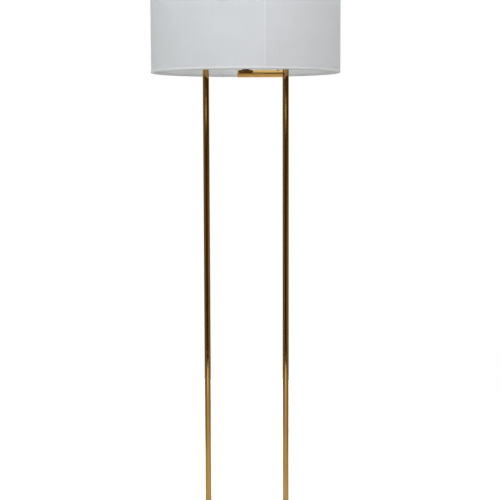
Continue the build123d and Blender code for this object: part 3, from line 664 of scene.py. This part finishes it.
# ---------------------------------------------------------------- hand work
class Workpiece:
    """A mesh that is shaped by hand in edit mode, at its place in the lamp's frame."""

    def __init__(self, name: str, add: Callable[[], object]) -> None:
        """Starts from a primitive.

        Args:
            name: the finished piece's name.
            add: adds the primitive at its size and place.
        """
        bpy.ops.object.select_all(action="DESELECT")
        add()
        self.piece = bpy.context.active_object
        self.piece.name = name
        self.piece.data.name = name
        bpy.ops.object.transform_apply(location=True, rotation=True, scale=True)
        bpy.ops.object.mode_set(mode="EDIT")
        bpy.ops.mesh.select_mode(type="VERT")
        bpy.ops.mesh.select_all(action="SELECT")

    def pull(self, radius: float, new_radius: float, z: float, new_z: float) -> None:
        """Extrudes the selected ring of edges about the lamp's axis.

        Args:
            radius: the ring's radius.
            new_radius: the new ring's radius.
            z: the ring's height.
            new_z: the new ring's height.
        """
        bpy.ops.mesh.extrude_region_move(TRANSFORM_OT_translate={"value": (0.0, 0.0, new_z - z)})
        factor = new_radius / radius
        bpy.ops.transform.resize(value=(factor, factor, 1.0), center_override=(0.0, 0.0, new_z))

    def choose(self, kind: str, test: Callable[[Vector, Vector], bool]) -> int:
        """Selects the faces, edges or vertices that pass a test.

        Args:
            kind: "FACE", "EDGE" or "VERT".
            test: takes an element's middle and its normal, and says whether it is chosen.

        Returns:
            How many were chosen.
        """
        bpy.ops.mesh.select_mode(type=kind)
        bpy.ops.mesh.select_all(action="DESELECT")
        mesh = bmesh.from_edit_mesh(self.piece.data)
        count = 0
        for element in {"FACE": mesh.faces, "EDGE": mesh.edges, "VERT": mesh.verts}[kind]:
            if kind == "FACE":
                middle, normal = element.calc_center_median(), element.normal
            elif kind == "EDGE":
                middle, normal = (element.verts[0].co + element.verts[1].co) / 2, element.verts[0].normal
            else:
                middle, normal = element.co, element.normal
            if test(middle, normal):
                element.select_set(True)
                count += 1
        mesh.select_flush_mode()
        bmesh.update_edit_mesh(self.piece.data)
        return count

    def finish(self) -> bpy.types.Object:
        """Merges doubles, turns the normals outwards and leaves edit mode."""
        bpy.ops.mesh.select_all(action="SELECT")
        bpy.ops.mesh.remove_doubles(threshold=MERGE_DISTANCE)
        bpy.ops.mesh.normals_make_consistent(inside=False)
        bpy.ops.object.mode_set(mode="OBJECT")
        return self.piece


def work(piece: bpy.types.Object, kind: str, **settings: object) -> None:
    """Adds a modifier to a piece and applies it.

    Args:
        piece: the piece to change.
        kind: the modifier's type.
        settings: the modifier's properties.
    """
    bpy.ops.object.select_all(action="DESELECT")
    piece.select_set(True)
    bpy.context.view_layer.objects.active = piece
    modifier = piece.modifiers.new(kind.title(), kind)
    for name, setting in settings.items():
        setattr(modifier, name, setting)
    bpy.ops.object.modifier_apply(modifier=modifier.name)


def smooth(piece: bpy.types.Object, angle: float = 35.0) -> None:
    """Shades a piece smooth, apart from edges sharper than the angle in degrees."""
    bpy.ops.object.select_all(action="DESELECT")
    piece.select_set(True)
    bpy.context.view_layer.objects.active = piece
    bpy.ops.object.shade_smooth_by_angle(angle=math.radians(angle))


def unroll(piece: bpy.types.Object, start: float, radius: float) -> None:
    """Gives a piece round the lamp's axis a UV map "flat" in metres.

    Args:
        piece: the piece, whose faces are small beside the radius.
        start: the angle where the flat width begins, in radians.
        radius: the radius whose arc gives the width.
    """
    mesh = piece.data
    layer = mesh.uv_layers.new(name="flat")
    for face in mesh.polygons:
        middle = (math.atan2(face.center.y, face.center.x) - start) % (2.0 * math.pi)
        for corner in face.loop_indices:
            point = mesh.vertices[mesh.loops[corner].vertex_index].co
            turn = (math.atan2(point.y, point.x) - start) % (2.0 * math.pi)
            turn += 2.0 * math.pi * round((middle - turn) / (2.0 * math.pi))
            layer.data[corner].uv = (turn * radius, point.z)


def wear(piece: bpy.types.Object, finish: Finish) -> None:
    """Gives every slot of a piece the finish's material."""
    if not piece.material_slots:
        piece.data.materials.append(None)
    for place in piece.material_slots:
        place.material = finish.material()


def dress(finish: Finish, *names: str) -> None:
    """Gives CAD nodes a finish and reports it."""
    for name in names:
        wear(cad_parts[name], finish)
        log.info("%s wears %s", name, finish.name)


# ---------------------------------------------------------------- shade
@dataclass
class Shade:
    """The drum shade: cloth on a liner, bound rims, and the spider that carries it."""

    columns: int = 252
    rows: int = 28
    lap_angle: float = math.radians(-78.1)
    lap_rise: float = 0.0004
    cloth_wall: float = 0.0006
    ripple: float = 0.00012
    tape_wall: float = 0.0006
    ring_radius: float = 0.2366
    hub_radius: float = 0.0128
    bead: float = 0.0034
    bead_shape: Point = (1.35, 0.9, 0.62)
    bead_lift: float = 0.0012
    bead_inset: float = 0.0022

    def sizes(self) -> tuple[float, float, float]:
        """The cloth's outer radius, foot and top, from its CAD node."""
        low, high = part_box("shade_fabric")
        return high.y, low.z, high.z

    def cloth(self) -> bpy.types.Object:
        """Draws the cloth up from a ring, raises its lap, ripples it and gives it a wall.

        Returns:
            The cloth, stretched round the liner.
        """
        radius, foot, top = self.sizes()

        def ring() -> None:
            """Adds the ring at the cloth's foot."""
            bpy.ops.mesh.primitive_circle_add(vertices=self.columns, radius=radius, location=(0, 0, foot))

        piece = Workpiece("shade_cloth", ring)
        step = 2.0 * math.pi / self.columns
        first = self.lap_angle - step
        off = (first + math.pi / 2.0) % step
        bpy.ops.transform.rotate(value=-off, orient_axis="Z", center_override=ORIGIN)
        heights = [foot + (top - foot) * row / self.rows for row in range(self.rows + 1)]
        for low, high in zip(heights, heights[1:]):
            piece.pull(radius, radius, low, high)

        def in_lap(middle: Vector, _: Vector) -> bool:
            """Whether a face lies in the lap's two columns."""
            turn = math.atan2(middle.y, middle.x) - self.lap_angle
            return abs(turn) < step

        columns = piece.choose("FACE", in_lap) // self.rows
        bpy.ops.mesh.extrude_region_shrink_fatten(TRANSFORM_OT_shrink_fatten={"value": self.lap_rise})
        made = piece.finish()
        log.info("the lap is %d columns wide", columns)
        soft = bpy.data.textures.new("cloth_ripple", "CLOUDS")
        soft.noise_scale = 0.05
        work(made, "DISPLACE", texture=soft, texture_coords="GLOBAL", strength=self.ripple, mid_level=0.6)
        unroll(made, first, radius)
        work(made, "SOLIDIFY", thickness=self.cloth_wall, offset=-1.0)
        smooth(made, 25.0)
        return made

    def hem(self, name: str, edge: float, inward: float) -> bpy.types.Object:
        """Folds a tape over a rim, from its outer leg round to its inner leg.

        Args:
            name: the hem's name.
            edge: the height of the fold's outside.
            inward: 1 where the legs go up from the fold, or -1 where they go down.

        Returns:
            The hem.
        """
        low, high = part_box("lower_trim")
        outside, height = high.y, high.z - low.z
        profile = (
            (outside - 0.0001, height),
            (outside, height * 0.75),
            (outside, 0.0022),
            (outside - 0.0003, 0.0009),
            (outside - 0.0012, 0.0002),
            (outside - 0.0024, 0.0000),
            (outside - 0.0042, 0.0000),
            (outside - 0.0055, 0.0004),
            (outside - 0.0063, 0.0013),
            (outside - 0.0066, 0.0026),
            (outside - 0.0066, height - 0.0012),
        )

        def ring() -> None:
            """Adds the ring at the outer leg's edge."""
            radius, rise = profile[0]
            bpy.ops.mesh.primitive_circle_add(
                vertices=self.columns, radius=radius, location=(0, 0, edge + inward * rise)
            )

        piece = Workpiece(name, ring)
        for (radius, rise), (new_radius, new_rise) in zip(profile, profile[1:]):
            piece.pull(radius, new_radius, edge + inward * rise, edge + inward * new_rise)
        made = piece.finish()
        middle = max(made.data.polygons, key=lambda face: Vector(face.center.xy).length)
        if middle.normal.xy.dot(middle.center.xy) < 0.0:
            made.data.flip_normals()
        work(made, "SOLIDIFY", thickness=self.tape_wall, offset=-1.0)
        unroll(made, self.lap_angle, outside)
        smooth(made, 40.0)
        return made

    def beads(self) -> list[bpy.types.Object]:
        """Models one weld bead and copies it to both ends of the spider's three wires."""
        low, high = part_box("spider_washer")
        ring_low, ring_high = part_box("upper_ring")
        made = []
        for number in range(3):
            turn = math.radians(90.0 + 120.0 * number)
            spots = (
                (self.hub_radius, (low.z + high.z) / 2.0 + self.bead_lift),
                (self.ring_radius - self.bead_inset, (ring_low.z + ring_high.z) / 2.0),
            )
            for radius, z in spots:
                spot = Vector((math.cos(turn) * radius, math.sin(turn) * radius, z))
                made.append(self.bead_at(f"spider_bead_{len(made) + 1}", spot, turn))
        return made

    def bead_at(self, name: str, spot: Vector, turn: float) -> bpy.types.Object:
        """Shapes a lumpy bead of weld metal, or copies the first.

        Args:
            name: the bead's name.
            spot: its middle.
            turn: the wire's angle about the lamp's axis.

        Returns:
            The bead.
        """
        first = bpy.data.objects.get("spider_bead_master")
        if first is None:

            def ball() -> None:
                """Adds the bead's ball at the frame's origin."""
                bpy.ops.mesh.primitive_ico_sphere_add(subdivisions=3, radius=self.bead, location=(0, 0, 0))

            piece = Workpiece("spider_bead_master", ball)
            bpy.ops.transform.resize(value=self.bead_shape, center_override=ORIGIN)
            first = piece.finish()
            lumps = bpy.data.textures.new("weld_lumps", "CLOUDS")
            lumps.noise_scale = 0.004
            work(first, "DISPLACE", texture=lumps, texture_coords="LOCAL", strength=0.0012, mid_level=0.5)
            smooth(first, 80.0)
        bead = first.copy()
        bead.data = first.data.copy()
        bead.name = bead.data.name = name
        bpy.context.scene.collection.objects.link(bead)
        bead.data.transform(Matrix.Translation(spot) @ Matrix.Rotation(turn, 4, "Z"))
        return bead

    def build(self) -> None:
        """Builds the cloth, hems and beads, and dresses the shade's CAD nodes."""
        lower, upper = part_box("lower_trim")[0].z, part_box("upper_trim")[1].z
        cloth = self.cloth()
        hems = [self.hem("lower_hem", lower, 1.0), self.hem("upper_hem", upper, -1.0)]
        wear(cloth, Cloth())
        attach(cloth, "shade")
        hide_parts("shade_fabric")
        for hem, node in zip(hems, ("lower_trim", "upper_trim")):
            wear(hem, Tape())
            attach(hem, "shade")
            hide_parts(node)
        beads = self.beads()
        bpy.data.objects.remove(bpy.data.objects["spider_bead_master"])
        for bead in beads:
            wear(bead, Enamel())
            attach(bead, "shade")
        dress(LinerSheet(), "shade_liner")
        dress(Enamel(), "lower_ring", "upper_ring", "spider_arms")
        dress(Brass("lamp_brass_washer", Grain.TURNED_UPRIGHT), "spider_washer")
        for piece in (cloth, *hems, *beads):
            log.info("%s rides on the shade with %d faces", piece.name, len(piece.data.polygons))


# ---------------------------------------------------------------- frame
@dataclass
class Stand:
    """The two posts, the crossbar and the arm, with what fastens them."""

    def build(self) -> None:
        """Dresses the stand's CAD nodes."""
        for side in ("left", "right"):
            low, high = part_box(f"{side}_post")
            axis = ((low.x + high.x) / 2.0, 0.0, 0.0)
            dress(Brass(f"lamp_brass_{side}_post", Grain.ALONG_Z), f"{side}_post")
            turned = Brass(f"lamp_brass_{side}_turned", Grain.TURNED_UPRIGHT, axis)
            dress(turned, f"{side}_post_cap", f"{side}_post_collar", f"{side}_post_insert")
        bars = Brass("lamp_brass_bars", Grain.ALONG_X)
        dress(bars, "crossbar", "crossbar_plugs", "socket_arm", "arm_end_cap", "arm_spigot")
        dress(Brass("lamp_brass_seat", Grain.TURNED_UPRIGHT), "stud_seat", "stud_nut")
        dress(Brass("lamp_brass_stud", Grain.TURNED_UPRIGHT, roughness=0.22), "shade_stud")
        black = DarkMetal(
            "lamp_black_oxide", (0.035, 0.033, 0.03), (0.12, 0.11, 0.1), 0.34, 2200.0, 0.00001, 0.5
        )
        dress(black, "arm_screw", "crossbar_screws")


# ---------------------------------------------------------------- lampholder and switch
@dataclass
class Lampholder:
    """The saddle, holder, switch and contacts."""

    def build(self) -> None:
        """Dresses the lampholder's CAD nodes."""
        # painted dark reflection: the saddle's brass tone is far darker than the other brass, standing in
        # for the dim room it mirrors
        aged_and_painted_dark = Brass(
            "lamp_brass_saddle", Grain.TURNED_UPRIGHT, tone=(0.21, 0.10, 0.022), deep=(0.17, 0.08, 0.018)
        )
        dress(aged_and_painted_dark, "holder_saddle")
        dress(Plated("lamp_zinc_nipple"), "holder_nipple")
        bakelite = Moulded(
            "lamp_holder_phenolic", (0.028, 0.022, 0.018), (0.06, 0.04, 0.028), 0.24, 1800.0, 0.000006, 0.4
        )
        dress(bakelite, "holder_cap", "holder_body", "switch_knob")
        dress(Ceramic(), "holder_insert")
        nickel = Plated("lamp_nickel", tone=(0.68, 0.65, 0.60), tint=(0.56, 0.51, 0.43), roughness=0.2)
        dress(nickel, "terminal_screws", "screw_shell", "centre_tongue")
        low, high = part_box("switch_shaft")
        axis = (0.0, (low.z + high.z) / 2.0, 0.0)
        dress(Plated("lamp_zinc_shaft", Grain.TURNED_LEVEL, axis), "switch_shaft")
        dress(Sleeve(), "internal_lead")


# ---------------------------------------------------------------- bulb and finial
@dataclass
class Bulb:
    """The bulb: contact, screw cap, collar and globe."""

    def build(self) -> None:
        """Dresses the bulb's CAD nodes."""
        dress(Contact(), "bulb_contact")
        nickel = Plated("lamp_bulb_cap", tone=(0.70, 0.68, 0.64), tint=(0.60, 0.57, 0.50), roughness=0.24)
        dress(nickel, "bulb_cap")
        collar = Moulded(
            "lamp_bulb_collar", (0.84, 0.84, 0.82), (0.76, 0.75, 0.71), 0.35, 900.0, 0.00001, 0.2
        )
        dress(collar, "bulb_collar")
        dress(OpalGlass(), "bulb_glass")


@dataclass
class Finial:
    """The turned brass knob on the shade's stud."""

    def build(self) -> None:
        """Dresses the finial."""
        dress(Brass("lamp_brass_finial", Grain.TURNED_UPRIGHT), "finial")


# ---------------------------------------------------------------- base
@dataclass
class Base:
    """The round base: brass cover, iron weight, bottom plate, feet and cord inlet."""

    def build(self) -> None:
        """Dresses the base's CAD nodes."""
        dress(Brass("lamp_brass_base", Grain.TURNED_UPRIGHT, roughness=0.15), "base_cover")
        iron = DarkMetal("lamp_cast_iron", (0.05, 0.05, 0.052), (0.13, 0.11, 0.10), 0.62, 500.0, 0.00018)
        dress(iron, "base_weight")
        powder = DarkMetal(
            "lamp_powder_coat", (0.03, 0.03, 0.032), (0.07, 0.07, 0.07), 0.42, 1400.0, 0.00003
        )
        dress(powder, "base_plate")
        dress(Plated("lamp_zinc"), "base_plate_screws", "base_nipples", "base_washers", "base_nuts")
        rubber = Moulded("lamp_rubber", (0.03, 0.03, 0.03), (0.055, 0.055, 0.052), 0.75, 1200.0, 0.00003)
        dress(rubber, "rubber_feet")
        nylon = Moulded("lamp_black_nylon", (0.022, 0.022, 0.023), (0.04, 0.04, 0.042), 0.45)
        dress(nylon, "cord_bushing")
        block = Moulded("lamp_terminal_block", (0.74, 0.73, 0.69), (0.64, 0.62, 0.56), 0.38)
        dress(block, "terminal_block")


# ---------------------------------------------------------------- studio
@dataclass(frozen=True)
class SoftLight:
    """A square soft light: its name, place, aim, side, power in watts and colour."""

    name: str
    place: Point
    aim: Point
    size: float
    power: float
    tone: Colour
    mirrored: bool = True

    def hang(self) -> None:
        """Adds the light, unseen by the camera, and unseen in mirrors unless it is mirrored."""
        bpy.ops.object.select_all(action="DESELECT")
        bpy.ops.object.light_add(type="AREA", location=self.place)
        light = bpy.context.active_object
        light.name = self.name
        light.data.size = self.size
        light.data.energy = self.power
        light.data.color = self.tone
        light.rotation_euler = (Vector(self.aim) - Vector(self.place)).to_track_quat("-Z", "Y").to_euler()
        light.visible_camera = False
        light.visible_glossy = self.mirrored


LIGHTS = (
    SoftLight("overhead", (0.0, 1.0, 5.0), (0.0, 1.0, 0.0), 8.0, 250.0, (0.76, 0.94, 1.0)),
    SoftLight("key", (-2.9, -2.6, 3.1), (0.0, 0.0, 1.35), 1.6, 100.0, (0.95, 0.98, 1.0)),
    SoftLight("fill", (3.2, -1.9, 2.8), (0.0, 0.0, 1.35), 1.6, 72.0, (0.97, 0.98, 1.0)),
    SoftLight("back", (0.0, 3.2, 1.9), (0.0, 0.0, 1.4), 2.4, 118.0, (0.98, 0.99, 1.0), False),
    SoftLight("inner", (0.0, -1.1, 3.0), (0.0, 0.24, 1.25), 0.7, 21.0, (0.98, 0.99, 1.0), False),
)


@dataclass
class Studio:
    """The floor, the room's light and the camera."""

    half_width: float = 1.05
    front: float = -2.5
    back: float = 2.2
    camera_place: Point = (0.00947, -3.208, 1.1047)
    pitch: float = 5.629
    roll: float = -0.0030
    lens: float = 90.0
    walls: tuple[tuple[float, Colour], ...] = (
        (0.0, (0.060, 0.030, 0.004)),
        (0.35, (0.062, 0.032, 0.005)),
        (0.50, (0.10, 0.085, 0.06)),
        (0.65, (0.22, 0.21, 0.19)),
        (0.85, (0.36, 0.36, 0.36)),
    )
    left_wall: Colour = (0.20, 0.195, 0.13)
    right_wall: Colour = (0.30, 0.26, 0.22)
    ledge: Colour = (0.95, 0.92, 0.66)
    ground: Colour = (0.42, 0.38, 0.30)
    ceiling: Colour = (0.35, 0.35, 0.36)

    def floor(self) -> None:
        """Adds the pale floor, whose front edge ends a little before the camera."""

        def sheet() -> None:
            """Adds the floor's plane."""
            bpy.ops.mesh.primitive_plane_add(size=2.0, location=(0.0, 0.0, 0.0))

        piece = Workpiece("studio_floor", sheet)
        depth = (self.back - self.front) / 2.0
        bpy.ops.transform.resize(value=(self.half_width, depth, 1.0), center_override=ORIGIN)
        bpy.ops.transform.translate(value=(0.0, (self.back + self.front) / 2.0, 0.0))
        bpy.ops.mesh.subdivide(number_cuts=6)
        floor = piece.finish()
        wear(floor, StudioFloor())

    def room(self) -> None:
        """Lights the room: dark brown before the lamp, paler behind it, and white to the camera."""
        world = bpy.data.worlds.new("studio_room")
        bpy.context.scene.world = world
        world.use_nodes = True
        net = Net(world.node_tree)
        x, y, z = net.parts(net.node("TexCoord").outputs["Generated"])
        walls = net.node("ValToRGB", {"stops": self.walls}, {0: y * 0.5 + 0.5}).outputs[0]
        left = x.between(-0.42, -0.78) * y.between(0.4, 0.0)
        walls = net.mix(left, walls, self.left_wall)
        right = x.between(0.4, 0.85) * z.between(0.02, -0.1)
        walls = net.mix(right, walls, self.right_wall)
        ledge = z.between(0.002, 0.008) * z.between(0.024, 0.017) * y.between(-0.86, -0.96)
        walls = net.mix(ledge, walls, self.ledge)
        walls = net.mix(z.between(-0.19, -0.21), walls, self.ground)
        walls = net.mix(z.between(0.3, 0.8), walls, self.ceiling)
        seen = net.node("LightPath").outputs["Is Camera Ray"]
        colour = net.mix(seen, walls, WHITE)
        lit = net.node("Background", None, {"Color": colour, "Strength": 1.0})
        net.node("OutputWorld", None, {"Surface": lit.outputs[0]})

    def camera(self) -> None:
        """Adds the camera at the viewing angle, level apart from a slight roll."""
        data = bpy.data.cameras.new("view")
        data.lens = self.lens
        data.sensor_width = 36.0
        camera = bpy.data.objects.new("view", data)
        bpy.context.scene.collection.objects.link(camera)
        tilt = Matrix.Rotation(math.radians(90.0 - self.pitch), 4, "X") @ Matrix.Rotation(self.roll, 4, "Z")
        camera.matrix_world = Matrix.Translation(self.camera_place) @ tilt
        bpy.context.scene.camera = camera

    def build(self) -> None:
        """Builds the studio and sets plain tones."""
        self.camera()
        self.floor()
        self.room()
        for light in LIGHTS:
            light.hang()
        bpy.context.scene.view_settings.view_transform = "Standard"
        bpy.context.scene.view_settings.look = "None"


def main() -> None:
    """Builds the studio and each part of the lamp in order."""
    logging.basicConfig(level=logging.INFO, format="%(message)s")
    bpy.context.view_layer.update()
    Studio().build()
    for part in (Shade(), Stand(), Lampholder(), Bulb(), Finial(), Base()):
        log.info("building the %s", type(part).__name__.lower())
        part.build()


if __name__ == "__main__":
    main()
